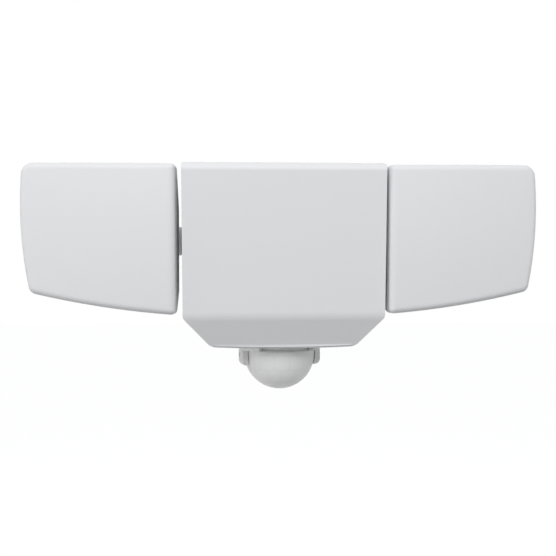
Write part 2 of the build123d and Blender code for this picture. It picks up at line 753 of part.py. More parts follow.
with BuildPart() as sensor_retaining_ring:
    add(discs(sensor_level(ring_bottom), [(0, 0)], retaining_ring_radius, retaining_ring_height))
    fillet(sensor_retaining_ring.edges().sort_by(Axis.Z)[-1:], 0.8)
    add(discs(sensor_level(ring_bottom), [(0, 0)], neck_radius + running_fit, retaining_ring_height),
        mode=Mode.SUBTRACT)
save(sensor_retaining_ring.part, "sensor_retaining_ring")


def pivot_ear(half_width):
    """Both upright ears of the ball at its pivots, as wide as given, between two spheres."""
    with BuildPart() as ear:
        with BuildSketch(sensor_side()):
            with Locations((0, lens_rim)):
                Rectangle(2 * half_width, lens_rim + carrier_ear_drop, align=(Align.CENTER, Align.MAX))
            with Locations((0, -carrier_ear_drop)):
                Circle(half_width)
        extrude(amount=yoke_radius, both=True)
        with Locations(ball_centre):
            Sphere(ball_radius, mode=Mode.INTERSECT)
            Sphere(ball_radius - carrier_ear_wall, mode=Mode.SUBTRACT)
    return ear.part


rim_height = ball_height + lens_rim
skirt_foot = rim_height - carrier_skirt
skirt_radius = ball_radius - carrier_inset
ledge_height = ball_height + carrier_top - carrier_wall - board_ledge
with BuildPart() as sensor_carrier:
    add(discs(sensor_level(skirt_foot), [(0, 0)], skirt_radius, carrier_top + ball_height - skirt_foot))
    fillet(sensor_carrier.edges().sort_by(Axis.Z)[-1:], carrier_wall / 2)
    add(discs(sensor_level(rim_height), [(0, 0)], ball_radius - carrier_shoulder, carrier_shoulder))
    add(discs(sensor_level(skirt_foot), [(0, 0)], skirt_radius - carrier_wall, ledge_height - skirt_foot),
        mode=Mode.SUBTRACT)
    add(discs(sensor_level(ledge_height), [(0, 0)], skirt_radius - 2 * carrier_wall, board_ledge),
        mode=Mode.SUBTRACT)
    add(discs(sensor_level(ledge_height), [(0, 0)], carrier_wire_hole, carrier_top), mode=Mode.SUBTRACT)
    add(pivot_ear(carrier_ear_half_width))
    with BuildSketch(sensor_side()):
        Circle(pivot_radius)
    extrude(amount=yoke_radius - pivot_setback, both=True)
    add(discs(sensor_level(skirt_foot - carrier_ear_drop), [(0, 0)], skirt_radius - carrier_wall,
              ledge_height - skirt_foot + carrier_ear_drop), mode=Mode.SUBTRACT)
save(sensor_carrier.part, "sensor_carrier")

with BuildPart() as sensor_lens:
    with Locations(ball_centre):
        Sphere(ball_radius)
        Sphere(ball_radius - lens_wall, mode=Mode.SUBTRACT)
    split(bisect_by=sensor_level(rim_height), keep=Keep.BOTTOM)
    add(pivot_ear(carrier_ear_half_width + lens_ear_gap), mode=Mode.SUBTRACT)
save(sensor_lens.part, "sensor_lens")

board_bottom = ledge_height - sensor_board_wall
with BuildPart() as sensor_board:
    add(discs(sensor_level(board_bottom), [(0, 0)], skirt_radius - carrier_wall - running_fit,
              sensor_board_wall))
save(sensor_board.part, "sensor_board")

with BuildPart() as pir_detector:
    add(discs(sensor_level(board_bottom), [(0, 0)], pir_radius + pir_flange, -pir_flange))
    add(discs(sensor_level(board_bottom), [(0, 0)], pir_radius, -pir_height))
    fillet(pir_detector.edges().sort_by(Axis.Z)[:1], 0.5)
save(pir_detector.part, "pir_detector")

with BuildPart() as photocell:
    add(discs(sensor_level(board_bottom), [(photocell_x, 0)], photocell_radius, -photocell_height))
save(photocell.part, "photocell")

# ---------------------------------------------------------------- side heads and their arms
for side, hand, yaw in ((-1, "left", left_yaw_rest), (1, "right", right_yaw_rest)):
    front = hinge_front(side, yaw)
    towers_here = [(side * x, z) for x, z in head_towers]
    board_centre = (side * (head_middle_x + head_board_shift[0]), head_board_shift[1])
    post_centre = (side * (head_middle_x + head_post_shift[0]), head_post_shift[1])
    posts = rectangle_corners(post_centre, head_post_spacing)
    port = (-side * port_x, arm_height)
    crown_middle = head_front - crown_radius
    crown_centre = front.from_local_coords(Vector(side * crown_shift, arm_height, crown_middle))

    # arm: thread, journal, flange, tube and upright barrel, hollow as far as its lead port
    with BuildPart() as arm:
        add(discs(arm_section(side, arm_end), [(0, 0)], arm_thread_radius, boss_inner - arm_end))
        add(discs(arm_section(side, boss_inner), [(0, 0)], arm_radius, hinge_x - boss_inner))
        add(discs(arm_section(side, boss_face + rest_gap), [(0, 0)], arm_flange_radius, arm_flange))
        rims = arm.edges().filter_by(GeomType.CIRCLE)
        chamfer(rims.filter_by(lambda rim: rim.radius == arm_flange_radius), flange_chamfer)
        with BuildSketch(hinge_level(side, yaw, arm_height - barrel_half_height)):
            Circle(barrel_radius)
        extrude(amount=2 * barrel_half_height)
        add(discs(arm_section(side, 0), [(0, 0)], arm_bore, hinge_x - port_x), mode=Mode.SUBTRACT)
        with BuildSketch(facing(hinge_depth)):
            with Locations((side * (hinge_x - port_x), arm_height)):
                Circle(port_radius)
        extrude(amount=2 * arm_radius, mode=Mode.SUBTRACT)
        with BuildSketch(hinge_level(side, yaw, 0)):
            Circle(bolt_radius + running_fit)
        extrude(amount=body_top, both=True, mode=Mode.SUBTRACT)
    save(arm.part, f"{hand}_arm")

    with BuildPart() as arm_washer:
        add(discs(arm_section(side, boss_inner), [(0, 0)], arm_flange_radius, -washer_thickness))
        add(discs(arm_section(side, boss_inner), [(0, 0)], arm_thread_radius + running_fit,
                  -washer_thickness), mode=Mode.SUBTRACT)
    save(arm_washer.part, f"{hand}_arm_washer")

    with BuildPart() as arm_nut:
        with BuildSketch(arm_section(side, boss_inner - washer_thickness)):
            RegularPolygon(arm_nut_flats / 2, 6, major_radius=False)
            Circle(arm_thread_radius + running_fit, mode=Mode.SUBTRACT)
        extrude(amount=-arm_nut_height)
    save(arm_nut.part, f"{hand}_arm_nut")

    # upright hinge
    with BuildPart() as hinge_bolt:
        add(discs(hinge_level(side, yaw, ear_top), [(0, 0)], bolt_head_radius, bolt_head_height))
        fillet(hinge_bolt.edges().sort_by(Axis.Z)[-1:], 0.8)
        with BuildSketch(hinge_level(side, yaw, ear_top + bolt_head_height)):
            RegularPolygon(bolt_socket[0] / 2, 6, major_radius=False)
        extrude(amount=-bolt_socket[1], mode=Mode.SUBTRACT)
        add(discs(hinge_level(side, yaw, ear_top), [(0, 0)], bolt_radius,
                  ear_bottom - hinge_nut_height - bolt_tail - ear_top))
    save(hinge_bolt.part, f"{hand}_hinge_bolt")

    with BuildPart() as hinge_nut:
        with BuildSketch(hinge_level(side, yaw, ear_bottom)):
            RegularPolygon(hinge_nut_flats / 2, 6, major_radius=False)
            Circle(bolt_radius + running_fit, mode=Mode.SUBTRACT)
        extrude(amount=-hinge_nut_height)
    save(hinge_nut.part, f"{hand}_hinge_nut")

    # head housing: straight collar, tapered back, ears
    with BuildPart() as head_hollow:
        extrude(head_outline(front, side, head_rim, wall), amount=head_collar - head_rim)
        loft([head_outline(front, side, head_collar, wall),
              head_back_outline(front, side, head_back + wall, wall)], ruled=True)
        add(discs(front, towers_here, tower_radius, head_seam), mode=Mode.SUBTRACT)
        add(discs(front, posts, post_radius, head_board_forward), mode=Mode.SUBTRACT)

    with BuildPart() as head_housing:
        extrude(head_outline(front, side, head_rim), amount=head_collar - head_rim)
        loft([head_outline(front, side, head_collar), head_back_outline(front, side, head_back)],
             ruled=True)
        fillet(head_housing.faces().sort_by(Axis(front.origin, front.z_dir))[0].edges(), back_round)
        for height in (ear_bottom, ear_top - hinge_ear):
            with BuildSketch(hinge_level(side, yaw, height)):
                with BuildLine():
                    Polyline((-barrel_radius, 0), (-ear_half_width, -ear_root), (ear_half_width, -ear_root),
                             (barrel_radius, 0), close=True)
                make_face()
                Circle(barrel_radius)
            extrude(amount=hinge_ear)
        add(discs(front.offset(ear_root), [port], port_boss, head_back - port_boss_height - ear_root))
        add(head_hollow.part, mode=Mode.SUBTRACT)
        add(discs(front, towers_here, m3_counterbore, head_rim - cover_screw_grip), mode=Mode.SUBTRACT)
        add(discs(front, towers_here, m3_plain, head_seam), mode=Mode.SUBTRACT)
        add(discs(front.offset(head_board_forward), posts, m3_thread, -board_screw_length),
            mode=Mode.SUBTRACT)
        add(discs(front, [port], port_radius, head_back + 2 * wall), mode=Mode.SUBTRACT)
        with BuildSketch(hinge_level(side, yaw, 0)):
            Circle(bolt_radius + running_fit)
        extrude(amount=body_top, both=True, mode=Mode.SUBTRACT)
    save(head_housing.part, f"{hand}_head_housing")

    save(head_ring(front, side, head_rim, seal_thickness, seal_setback, seal_setback + seal_width),
         f"{hand}_head_seal")

    # diffuser: crowned tray with a tongue and screw bosses
    with BuildPart() as diffuser_hollow:
        extrude(head_outline(front, side, head_seam - tongue_root, cover_wall),
                amount=head_front - head_seam + tongue_root)
        with Locations(crown_centre):
            Sphere(crown_radius - cover_wall, mode=Mode.INTERSECT)
        add(discs(front.offset(head_rim), towers_here, tower_radius - cover_boss_step, head_front),
            mode=Mode.SUBTRACT)

    with BuildPart() as diffuser:
        extrude(head_outline(front, side, head_seam), amount=head_front - head_seam)
        with Locations(crown_centre):
            Sphere(crown_radius, mode=Mode.INTERSECT)
        fillet(diffuser.faces().filter_by(GeomType.SPHERE).edges(), head_face_round)
        add(diffuser_hollow.part, mode=Mode.SUBTRACT)
        add(head_ring(front, side, head_seam, tongue_root, cover_wall / 2, tongue_inset + tongue_thickness))
        add(head_ring(front, side, head_seam - tongue_height, tongue_height, tongue_inset,
                      tongue_inset + tongue_thickness))
        add(discs(front.offset(head_seam), towers_here, tower_radius + tongue_clearance, -tongue_height),
            mode=Mode.SUBTRACT)
        add(discs(front.offset(head_rim + cover_foot_gap), towers_here, tower_radius - cover_boss_step, tongue_root))
        add(discs(front, towers_here, m3_thread,
                  head_rim - cover_screw_grip + head_screw_length + screw_run_out), mode=Mode.SUBTRACT)
    save(diffuser.part, f"{hand}_diffuser")

    screw_seat = front.offset(head_rim - cover_screw_grip)
    save(rear_screws(screw_seat, towers_here, m3, head_screw_length), f"{hand}_head_screws")

    board_back = front.offset(head_board_forward)
    save(circuit_board(board_back, board_centre, head_board, posts), f"{hand}_led_board")
    board_face = board_back.offset(board_thickness)
    save(led_group(board_face, board_centre, head_led_count, head_led_pitch), f"{hand}_leds")
    save(screw_group(board_face, posts, m3, board_screw_length), f"{hand}_board_screws")

    with BuildPart() as lead_bush:
        outer_face = front.offset(head_back - port_boss_height)
        add(discs(outer_face, [port], bush_lip, -bush_lip_thickness))
        add(discs(outer_face, [port], port_radius - running_fit, port_boss_height + wall))
        add(discs(front.offset(0), [port], bush_bore, head_back + wall), mode=Mode.SUBTRACT)
    save(lead_bush.part, f"{hand}_lead_bush")
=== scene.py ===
"""Looks of a wall-mounted motion sensor light: finishes, modelled head covers, studio and camera."""

from __future__ import annotations

import json
import logging
import math
from dataclasses import dataclass, field, replace
from enum import Enum

import bmesh
import bpy
from mathutils import Matrix, Vector

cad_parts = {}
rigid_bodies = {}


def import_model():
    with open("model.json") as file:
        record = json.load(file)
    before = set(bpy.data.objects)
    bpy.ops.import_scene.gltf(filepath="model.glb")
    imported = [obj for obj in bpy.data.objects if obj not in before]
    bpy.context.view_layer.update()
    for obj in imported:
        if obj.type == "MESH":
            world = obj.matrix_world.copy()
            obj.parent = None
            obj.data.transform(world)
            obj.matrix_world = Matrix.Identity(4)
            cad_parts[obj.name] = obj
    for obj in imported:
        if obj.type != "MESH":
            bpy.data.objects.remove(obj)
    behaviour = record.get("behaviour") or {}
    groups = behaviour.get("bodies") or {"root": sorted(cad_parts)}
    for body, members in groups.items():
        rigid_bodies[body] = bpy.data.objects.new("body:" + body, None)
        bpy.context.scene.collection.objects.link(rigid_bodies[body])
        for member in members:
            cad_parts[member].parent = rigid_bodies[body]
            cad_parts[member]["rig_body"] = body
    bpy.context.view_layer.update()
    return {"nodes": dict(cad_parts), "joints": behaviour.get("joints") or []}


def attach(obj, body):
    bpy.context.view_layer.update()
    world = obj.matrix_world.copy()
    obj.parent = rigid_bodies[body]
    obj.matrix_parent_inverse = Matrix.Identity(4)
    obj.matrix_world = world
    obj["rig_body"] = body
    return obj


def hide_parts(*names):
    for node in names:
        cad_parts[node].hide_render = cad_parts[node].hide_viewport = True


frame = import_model()

log = logging.getLogger("wall_light")

Colour = tuple[float, float, float]
Place = tuple[float, float, float]
Input = bpy.types.NodeSocket | float | int | tuple

WHITE: Colour = (1.0, 1.0, 1.0)
DUST: Colour = (0.62, 0.6, 0.57)


def pivot(joint: str) -> Vector:
    """A joint's pivot, in metres, in the light's own frame."""
    return next(Vector(row["pos_m"]) for row in frame["joints"] if row["name"] == joint)


# ---------------------------------------------------------------- node trees
class NodeSheet:
    """A node tree being filled in, with short ways to add and join its nodes."""

    # The Mix node gives its sockets the same names for every data type, so the colour ones go by number.
    MIX_INPUTS = (0, 6, 7)
    MIX_RESULT = 2

    def __init__(self, tree: bpy.types.NodeTree) -> None:
        """Starts on an empty tree.

        Args:
            tree: the material's, world's or group's node tree.
        """
        self.tree = tree
        tree.nodes.clear()

    def put(self, target: bpy.types.NodeSocket, value: Input) -> None:
        """Joins a socket to an input, or sets the input's own value.

        Args:
            target: the input socket.
            value: an output socket, or a plain value.
        """
        if isinstance(value, bpy.types.NodeSocket):
            self.tree.links.new(value, target)
        elif isinstance(value, tuple) and len(value) == 3 and target.type == "RGBA":
            target.default_value = (*value, 1.0)
        else:
            target.default_value = value

    def add(self, kind: str, inputs: dict[str | int, Input] | None = None,
            **settings: object) -> bpy.types.Node:
        """Adds a node.

        Args:
            kind: the node's type without its ShaderNode prefix.
            inputs: values or sockets for its inputs, by name or number.
            **settings: attributes of the node.

        Returns:
            The new node.
        """
        node = self.tree.nodes.new(f"ShaderNode{kind}")
        for name, value in settings.items():
            setattr(node, name, value)
        for name, value in (inputs or {}).items():
            self.put(node.inputs[name], value)
        return node

    def math(self, operation: str, first: Input, second: Input = 0.0,
             clamp: bool = False) -> bpy.types.NodeSocket:
        """One step of arithmetic.

        Args:
            operation: Blender's name for it.
            first: the first value or socket.
            second: the second value or socket.
            clamp: whether the result is kept between 0 and 1.

        Returns:
            The result's socket.
        """
        return self.add("Math", {0: first, 1: second}, operation=operation, use_clamp=clamp).outputs[0]

    def own_place(self) -> bpy.types.NodeSocket:
        """The piece's own coordinates, in metres."""
        return self.add("TexCoord").outputs["Object"]

    def noise(self, scale: Input, detail: float = 2.0, roughness: float = 0.5,
              vector: Input | None = None) -> bpy.types.NodeSocket:
        """Soft noise over the piece's own coordinates.

        Args:
            scale: cells per metre.
            detail: octaves.
            roughness: how strong the finer octaves are.
            vector: another vector to read, if not the piece's own.

        Returns:
            The noise's value, about 0 to 1.
        """
        node = self.add("TexNoise", {"Vector": vector or self.own_place(), "Scale": scale, "Detail": detail,
                                     "Roughness": roughness})
        return node.outputs["Fac"]

    def cells(self, scale: float, feature: str = "F1") -> bpy.types.NodeSocket:
        """Rounded cells, as the distance to the nearest of many scattered points.

        Args:
            scale: cells per metre.
            feature: Blender's name for how the cells meet.

        Returns:
            The distance's socket.
        """
        node = self.add("TexVoronoi", {"Vector": self.own_place(), "Scale": scale}, feature=feature)
        return node.outputs["Distance"]

    def mix(self, factor: Input, first: Input, second: Input) -> bpy.types.NodeSocket:
        """A mix of two colours.

        Args:
            factor: share of the second.
            first: the first colour.
            second: the second colour.

        Returns:
            The mixed colour's socket.
        """
        inputs = dict(zip(self.MIX_INPUTS, (factor, first, second)))
        return self.add("Mix", inputs, data_type="RGBA").outputs[self.MIX_RESULT]

    def ramp(self, value: Input, low: float, high: float) -> bpy.types.NodeSocket:
        """Stretches a value's stretch from low to high over 0 to 1, smoothly.

        Args:
            value: the value or socket.
            low: what becomes 0.
            high: what becomes 1.

        Returns:
            The stretched value's socket.
        """
        node = self.add("MapRange", {0: value, 1: low, 2: high}, interpolation_type="SMOOTHSTEP")
        return node.outputs[0]


class Effect(Enum):
    """The shared surface effects, each one shader node group."""

    WORN_EDGES = "worn_edges"
    MOULDED_GRAIN = "moulded_grain"
    TONE_DRIFT = "tone_drift"
    SETTLED_DUST = "settled_dust"
    DRAWN_LINES = "drawn_lines"
    LENS_PANELS = "lens_panels"


@dataclass
class EffectShelf:
    """Builds each shared effect once and hands it out."""

    groups: dict[Effect, bpy.types.NodeTree] = field(default_factory=dict)

    def place(self, sheet: NodeSheet, effect: Effect, **values: Input) -> bpy.types.Node:
        """Places an effect in a material with its own values.

        Args:
            sheet: the material's node sheet.
            effect: which effect.
            **values: the group's inputs, by name.

        Returns:
            The group node.
        """
        if effect not in self.groups:
            self.groups[effect] = self._build(effect)
        node = sheet.add("Group")
        node.node_tree = self.groups[effect]
        for name, value in values.items():
            sheet.put(node.inputs[name], value)
        return node

    def _build(self, effect: Effect) -> bpy.types.NodeTree:
        """Makes one effect's node group.

        Args:
            effect: which effect.

        Returns:
            The node group.
        """
        tree = bpy.data.node_groups.new(effect.value, "ShaderNodeTree")
        maker = {Effect.WORN_EDGES: self._worn_edges, Effect.MOULDED_GRAIN: self._moulded_grain,
                 Effect.TONE_DRIFT: self._tone_drift, Effect.SETTLED_DUST: self._settled_dust,
                 Effect.DRAWN_LINES: self._drawn_lines, Effect.LENS_PANELS: self._lens_panels}[effect]
        maker(tree)
        return tree

    @staticmethod
    def _sockets(tree: bpy.types.NodeTree, inputs: dict[str, float | Colour],
                 outputs: dict[str, str]) -> tuple[NodeSheet, bpy.types.Node, bpy.types.Node]:
        """Gives a group its sockets.

        Args:
            tree: the group.
            inputs: default value of each input, a number or a colour.
            outputs: socket type of each output.

        Returns:
            The group's sheet, its input node and its output node.
        """
        for name, value in inputs.items():
            kind = "NodeSocketColor" if isinstance(value, tuple) else "NodeSocketFloat"
            socket = tree.interface.new_socket(name, in_out="INPUT", socket_type=kind)
            socket.default_value = (*value, 1.0) if isinstance(value, tuple) else value
        for name, kind in outputs.items():
            tree.interface.new_socket(name, in_out="OUTPUT", socket_type=kind)
        sheet = NodeSheet(tree)
        return sheet, tree.nodes.new("NodeGroupInput"), tree.nodes.new("NodeGroupOutput")

    def _worn_edges(self, tree: bpy.types.NodeTree) -> None:
        """A mask of the outer edges, broken up by noise, and a normal that rounds them; the finishes
        lighten the edges under this mask as rubbed wear and as a painted highlight.

        Args:
            tree: the group to fill.
        """
        sheet, given, out = self._sockets(tree, {"Width": 0.0005, "Patches": 60.0},
                                          {"Mask": "NodeSocketFloat", "Normal": "NodeSocketVector"})
        soft = sheet.add("Bevel", {"Radius": given.outputs["Width"]}, samples=4)
        plain = sheet.add("NewGeometry").outputs["Normal"]
        alike = sheet.add("VectorMath", {0: soft.outputs[0], 1: plain}, operation="DOT_PRODUCT")
        edge = sheet.ramp(sheet.math("SUBTRACT", 1.0, alike.outputs["Value"]), low=0.02, high=0.25)
        cloud = sheet.noise(given.outputs["Patches"], detail=4.0, roughness=0.6)
        patches = sheet.ramp(cloud, low=0.35, high=0.65)
        sheet.put(out.inputs["Mask"], sheet.math("MULTIPLY", edge, patches, clamp=True))
        sheet.put(out.inputs["Normal"], soft.outputs[0])

    def _moulded_grain(self, tree: bpy.types.NodeTree) -> None:
        """Height of a mould's fine spark grain over slow waves in the wall.

        Args:
            tree: the group to fill.
        """
        sheet, given, out = self._sockets(tree, {"Grain": 1500.0, "Waves": 35.0, "Waviness": 0.5},
                                          {"Height": "NodeSocketFloat"})
        fine = sheet.noise(given.outputs["Grain"], detail=3.0, roughness=0.6)
        waves = sheet.noise(given.outputs["Waves"], detail=1.0)
        slow = sheet.math("MULTIPLY", waves, given.outputs["Waviness"])
        sheet.put(out.inputs["Height"], sheet.math("ADD", fine, slow))

    def _tone_drift(self, tree: bpy.types.NodeTree) -> None:
        """A colour that drifts slightly in tone over the piece.

        Args:
            tree: the group to fill.
        """
        sheet, given, out = self._sockets(tree, {"Color": (0.8, 0.8, 0.8), "Amount": 0.03, "Scale": 18.0},
                                          {"Color": "NodeSocketColor"})
        drift = sheet.math("SUBTRACT", sheet.noise(given.outputs["Scale"], detail=3.0), 0.5)
        gain = sheet.math("ADD", sheet.math("MULTIPLY", drift, given.outputs["Amount"]), 1.0)
        scaled = sheet.add("VectorMath", {0: given.outputs["Color"], "Scale": gain}, operation="SCALE")
        sheet.put(out.inputs["Color"], scaled.outputs[0])

    def _settled_dust(self, tree: bpy.types.NodeTree) -> None:
        """A mask of fine dust on what faces up.

        Args:
            tree: the group to fill.
        """
        sheet, given, out = self._sockets(tree, {"Amount": 0.2, "Scale": 90.0}, {"Mask": "NodeSocketFloat"})
        up = sheet.add("SeparateXYZ", {0: sheet.add("NewGeometry").outputs["Normal"]}).outputs["Z"]
        cloud = sheet.noise(given.outputs["Scale"], detail=5.0, roughness=0.65)
        patches = sheet.ramp(cloud, low=0.3, high=0.75)
        mask = sheet.math("MULTIPLY", sheet.ramp(up, low=0.25, high=0.95), patches)
        sheet.put(out.inputs["Mask"], sheet.math("MULTIPLY", mask, given.outputs["Amount"], clamp=True))

    def _drawn_lines(self, tree: bpy.types.NodeTree) -> None:
        """Height of fine lines along X, as on drawn or rolled steel.

        Args:
            tree: the group to fill.
        """
        sheet, given, out = self._sockets(tree, {"Scale": 900.0}, {"Height": "NodeSocketFloat"})
        along, across = 0.04, 1.0
        drawn = sheet.add("VectorMath", {0: sheet.own_place(), 1: (along, across, across)},
                          operation="MULTIPLY")
        lines = sheet.noise(given.outputs["Scale"], detail=3.0, roughness=0.6, vector=drawn.outputs[0])
        sheet.put(out.inputs["Height"], lines)

    def _lens_panels(self, tree: bpy.types.NodeTree) -> None:
        """Height of the shallow panels moulded into a ball lens centred on X, Y and Z, and a mask of the
        grooves between them that carries painted shade.

        Args:
            tree: the group to fill.
        """
        defaults = {"X": 0.0, "Y": 0.0, "Z": 0.0, "Radius": 0.02, "Bands": 4.0, "Panels": 9.0}
        sheet, given, out = self._sockets(tree, defaults,
                                          {"Height": "NodeSocketFloat", "Mask": "NodeSocketFloat"})
        get = given.outputs
        centre = sheet.add("CombineXYZ", {name: get[name] for name in "XYZ"})
        arm = sheet.add("VectorMath", {0: sheet.own_place(), 1: centre.outputs[0]}, operation="SUBTRACT")
        x, y, z = sheet.add("SeparateXYZ", {0: arm.outputs[0]}).outputs
        depth = sheet.math("DIVIDE", sheet.math("MULTIPLY", z, -1.0), get["Radius"], clamp=True)
        fall = sheet.math("MULTIPLY", sheet.math("ARCSINE", depth), 2.0 / math.pi)
        band = sheet.math("MULTIPLY", fall, get["Bands"])
        turn = sheet.math("DIVIDE", sheet.math("ARCTAN2", y, x), math.pi)
        odd = sheet.math("MULTIPLY", sheet.math("MODULO", sheet.math("FLOOR", band), 2.0), 0.5)
        panel = sheet.math("ADD", sheet.math("MULTIPLY", turn, get["Panels"]), odd)

        def crown(value: bpy.types.NodeSocket, flatness: float = 0.35) -> bpy.types.NodeSocket:
            """A low hump between whole numbers, 0 at each of them and 1 half-way.

            Args:
                value: the value's socket.
                flatness: the power that spreads the hump's top.

            Returns:
                The hump's socket.
            """
            peak = 0.25
            past = sheet.math("FRACT", value)
            hump = sheet.math("MULTIPLY", past, sheet.math("SUBTRACT", 1.0, past))
            return sheet.math("POWER", sheet.math("DIVIDE", hump, peak), flatness)

        height = sheet.math("MULTIPLY", crown(band), crown(panel))
        sheet.put(out.inputs["Height"], height)
        # This mask marks the grooves between the panels, where the lens gets painted shade.
        sheet.put(out.inputs["Mask"], sheet.ramp(height, low=0.75, high=0.3))


# ---------------------------------------------------------------- finishes
@dataclass(frozen=True)
class Finish:
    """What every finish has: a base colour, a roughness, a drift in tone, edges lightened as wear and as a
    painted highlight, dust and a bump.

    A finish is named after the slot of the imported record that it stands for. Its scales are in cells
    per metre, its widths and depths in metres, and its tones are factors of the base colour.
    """

    name: str
    colour: Colour
    roughness: float = 0.5
    metallic: float = 0.0
    drift: float = 0.03
    drift_scale: float = 18.0
    bump_depth: float = 0.00002
    edge_width: float = 0.0004
    # How much lighter the edges are: partly rubbed wear, partly a painted highlight.
    edge_wear_highlight_tone: float = 1.06
    edge_patches: float = 60.0
    smudge: float = 0.08
    smudge_scale: float = 140.0
    dust: float = 0.12
    dust_dulling: float = 0.4

    def material(self, shelf: EffectShelf) -> bpy.types.Material:
        """Builds the material.

        Args:
            shelf: the shared effects.

        Returns:
            The finished material.
        """
        made = bpy.data.materials.new(self.name)
        made.use_nodes = True
        sheet = NodeSheet(made.node_tree)
        shader = sheet.add("BsdfPrincipled", {"Metallic": self.metallic})
        edge = shelf.place(sheet, Effect.WORN_EDGES, Width=self.edge_width, Patches=self.edge_patches)
        # The edges are lightened as rubbed wear and as a painted highlight.
        wear_and_highlight = sheet.mix(edge.outputs["Mask"], self.colours(sheet, shelf), self.toned(self.edge_wear_highlight_tone))
        dusty = shelf.place(sheet, Effect.SETTLED_DUST, Amount=self.dust).outputs["Mask"]
        sheet.put(shader.inputs["Base Color"], sheet.mix(dusty, wear_and_highlight, DUST))
        smudges = sheet.math("MULTIPLY", sheet.noise(self.smudge_scale, detail=3.0), self.smudge)
        rough = sheet.math("ADD", smudges, self.roughness - self.smudge / 2)
        dulled = sheet.math("ADD", rough, sheet.math("MULTIPLY", dusty, self.dust_dulling), clamp=True)
        sheet.put(shader.inputs["Roughness"], dulled)
        bump = sheet.add("Bump", {"Strength": 1.0, "Distance": self.bump_depth,
                                  "Height": self.height(sheet, shelf), "Normal": edge.outputs["Normal"]})
        sheet.put(shader.inputs["Normal"], bump.outputs[0])
        self.extras(shader)
        sheet.put(sheet.add("OutputMaterial").inputs["Surface"], shader.outputs[0])
        return made

    def toned(self, tone: float) -> Colour:
        """The base colour made lighter or darker by a factor."""
        return tuple(min(1.0, channel * tone) for channel in self.colour)

    def colours(self, sheet: NodeSheet, shelf: EffectShelf) -> bpy.types.NodeSocket:
        """The colour before wear and dust.

        Args:
            sheet: the material's nodes.
            shelf: the shared effects.

        Returns:
            The colour's socket.
        """
        return shelf.place(sheet, Effect.TONE_DRIFT, Color=self.colour, Amount=self.drift,
                           Scale=self.drift_scale).outputs["Color"]

    def height(self, sheet: NodeSheet, shelf: EffectShelf) -> bpy.types.NodeSocket:
        """The height that feeds the bump.

        Args:
            sheet: the material's nodes.
            shelf: the shared effects.

        Returns:
            The height's socket.
        """
        return shelf.place(sheet, Effect.MOULDED_GRAIN).outputs["Height"]

    def extras(self, shader: bpy.types.Node) -> None:
        """Sets what is the same all over the surface, on the shader's own sockets."""


@dataclass(frozen=True)
class MouldedPlastic(Finish):
    """Injection-moulded plastic with spark grain and slow waves in its walls."""

    grain: float = 1600.0
    waves: float = 30.0
    waviness: float = 1.2
    gloss: float = 0.5

    def height(self, sheet: NodeSheet, shelf: EffectShelf) -> bpy.types.NodeSocket:
        """Spark grain over slow waves."""
        return shelf.place(sheet, Effect.MOULDED_GRAIN, Grain=self.grain, Waves=self.waves,
                           Waviness=self.waviness).outputs["Height"]

    def extras(self, shader: bpy.types.Node) -> None:
        """Sets the plain gloss level."""
        shader.inputs["Specular IOR Level"].default_value = self.gloss


@dataclass(frozen=True)
class PowderCoat(Finish):
    """Baked powder paint with its orange-peel skin."""

    peel: float = 900.0

    def height(self, sheet: NodeSheet, shelf: EffectShelf) -> bpy.types.NodeSocket:
        """Orange peel: soft cells about a millimetre across."""
        return sheet.cells(self.peel, feature="SMOOTH_F1")


@dataclass(frozen=True)
class PlatedSteel(Finish):
    """Rolled or turned steel under a thin plating."""

    lines: float = 900.0

    def height(self, sheet: NodeSheet, shelf: EffectShelf) -> bpy.types.NodeSocket:
        """Fine drawn lines."""
        return shelf.place(sheet, Effect.DRAWN_LINES, Scale=self.lines).outputs["Height"]


@dataclass(frozen=True)
class FoamRubber(Finish):
    """Closed-cell foam or matt rubber."""

    cells: float = 1400.0

    def height(self, sheet: NodeSheet, shelf: EffectShelf) -> bpy.types.NodeSocket:
        """Rounded cells."""
        return sheet.cells(self.cells)


@dataclass(frozen=True)
class SolderMask(Finish):
    """A lacquered circuit board with its copper tracks just showing."""

    track_tone: float = 0.8
    track_scale: float = 160.0
    track_width: float = 0.03
    track_blur: float = 0.2

    def colours(self, sheet: NodeSheet, shelf: EffectShelf) -> bpy.types.NodeSocket:
        """Lacquer over straight tracks.

        Args:
            sheet: the material's nodes.
            shelf: the shared effects.

        Returns:
            The colour's socket.
        """
        lacquer = super().colours(sheet, shelf)
        tracks = sheet.add("TexBrick", {"Vector": sheet.own_place(), "Scale": self.track_scale,
                                        "Mortar Size": self.track_width, "Mortar Smooth": self.track_blur})
        return sheet.mix(tracks.outputs["Fac"], lacquer, self.toned(self.track_tone))


@dataclass(frozen=True)
class WoundTape(Finish):
    """Tape wound round a coil, with its edges showing as bands of painted shade."""

    turn_scale: float = 160.0
    wander: float = 0.4
    # How dark the painted shade along each tape edge is.
    lap_shade_tone: float = 0.7

    def colours(self, sheet: NodeSheet, shelf: EffectShelf) -> bpy.types.NodeSocket:
        """Bands of tape, each with painted shade along its edge.

        Args:
            sheet: the material's nodes.
            shelf: the shared effects.

        Returns:
            The colour's socket.
        """
        tape = super().colours(sheet, shelf)
        turns = sheet.add("TexWave", {"Vector": sheet.own_place(), "Scale": self.turn_scale,
                                      "Distortion": self.wander}, bands_direction="Z")
        # Painted shade along each tape edge.
        lap_shade = sheet.ramp(turns.outputs["Fac"], low=0.75, high=0.95)
        return sheet.mix(lap_shade, tape, self.toned(self.lap_shade_tone))


